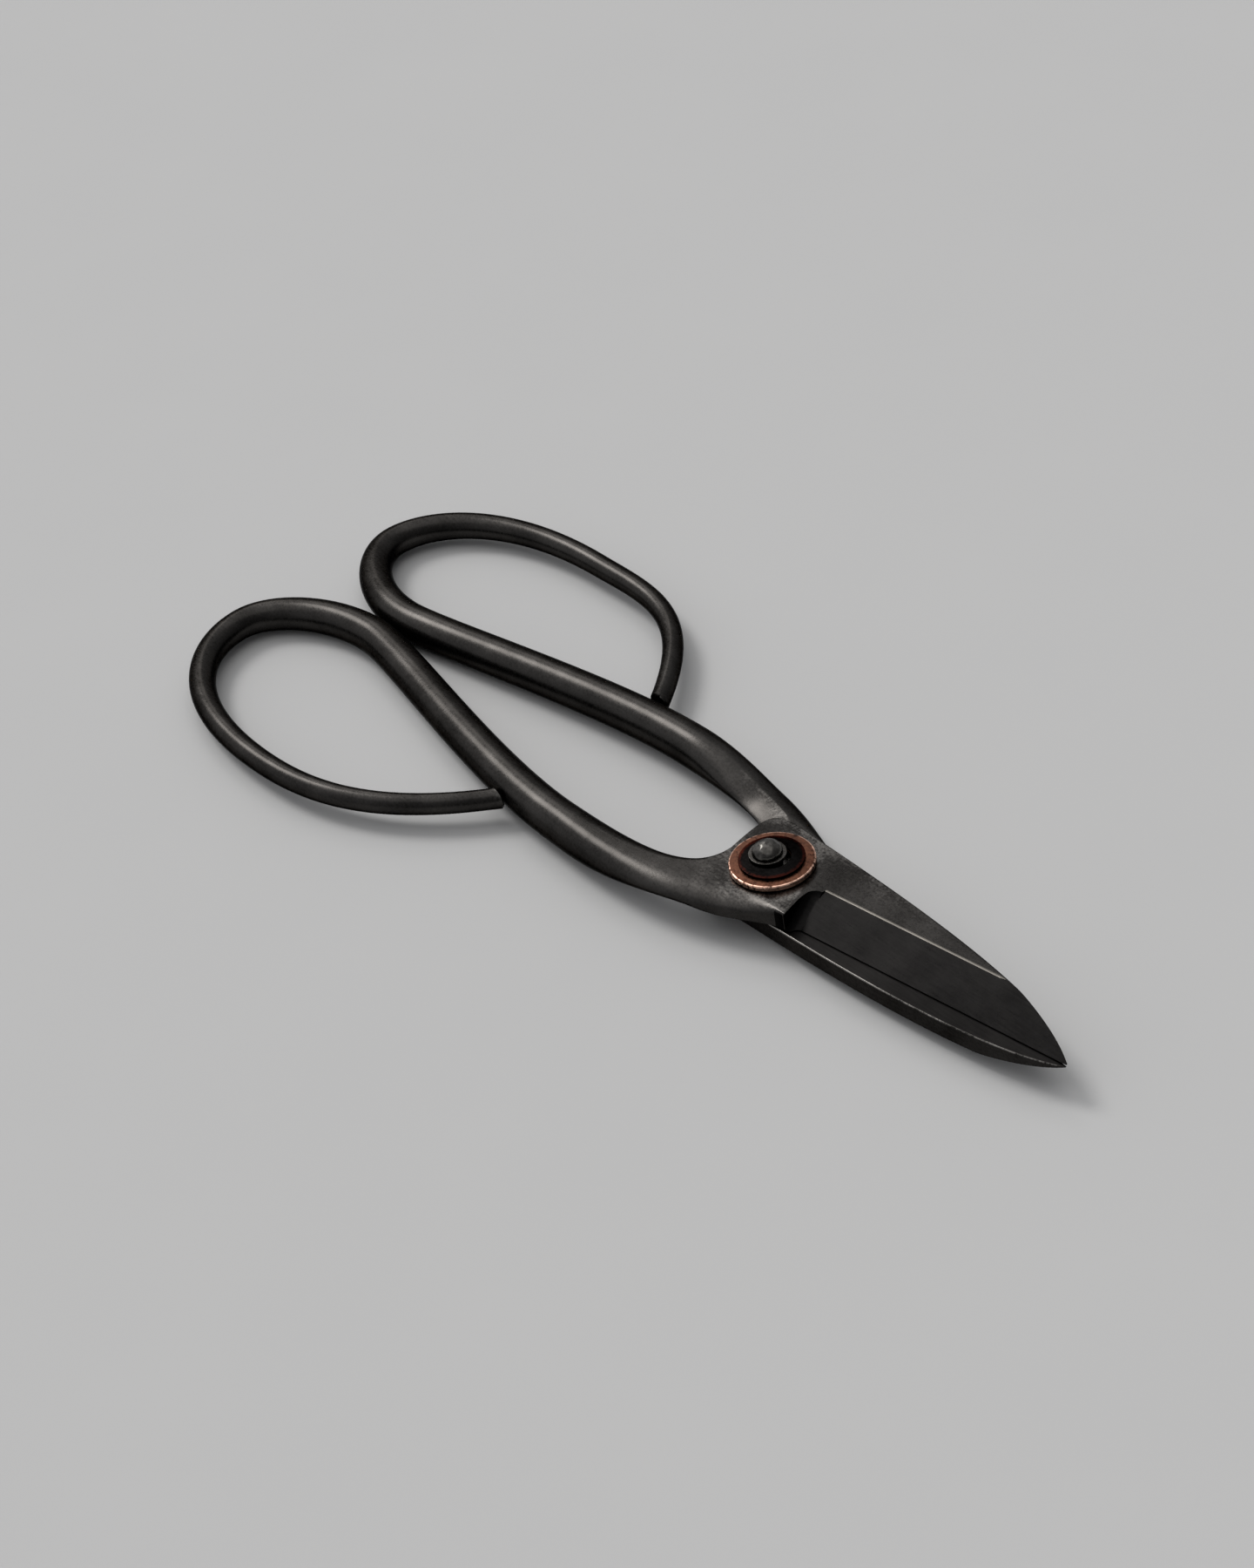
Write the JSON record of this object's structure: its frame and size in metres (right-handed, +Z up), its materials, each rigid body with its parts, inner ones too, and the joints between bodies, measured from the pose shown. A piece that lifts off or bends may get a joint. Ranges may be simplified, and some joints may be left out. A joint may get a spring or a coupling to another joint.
{
  "type": "floral snips",
  "caption": "Forged steel floral snips with butterfly finger loops, short pointed blades and a riveted pivot; opens and closes by hand to cut stems.",
  "frame": {"origin": "on the pivot axis at the flat foot of the rivet's tail, which the snips rest on", "axes": "+X from the pivot towards the blade tips, +Z up along the pivot axis, +Y to the left when looking along the blades"},
  "size_m": [0.1978, 0.0805, 0.0127],
  "materials": {
    "upper_steel": "blackened forged carbon steel, oiled, with a brushed boss and a ground bevel",
    "lower_steel": "blackened forged carbon steel, oiled, with a ground bevel",
    "upper_copper": "worn copper with a bright rim and a brown patina",
    "black_washer": "smooth blackened spring steel",
    "collar_steel": "blackened steel with a bright worn rim",
    "lower_copper": "worn copper",
    "rivet_steel": "hammered steel, dark and glossy"
  },
  "bodies": {
    "lower": {"lower_half": "lower_steel", "lower_copper_washer": "lower_copper", "pivot_rivet": "rivet_steel"},
    "upper": {"upper_half": "upper_steel", "upper_copper_washer": "upper_copper", "dished_washer": "black_washer", "head_collar": "collar_steel"}
  },
  "joints": [
    {"name": "pivot", "type": "hinge", "parent": "lower", "child": "upper", "pos_m": [0, 0, 0.00492], "axis": [0, 0, 1], "range_deg": [0, 50]}
  ]
}
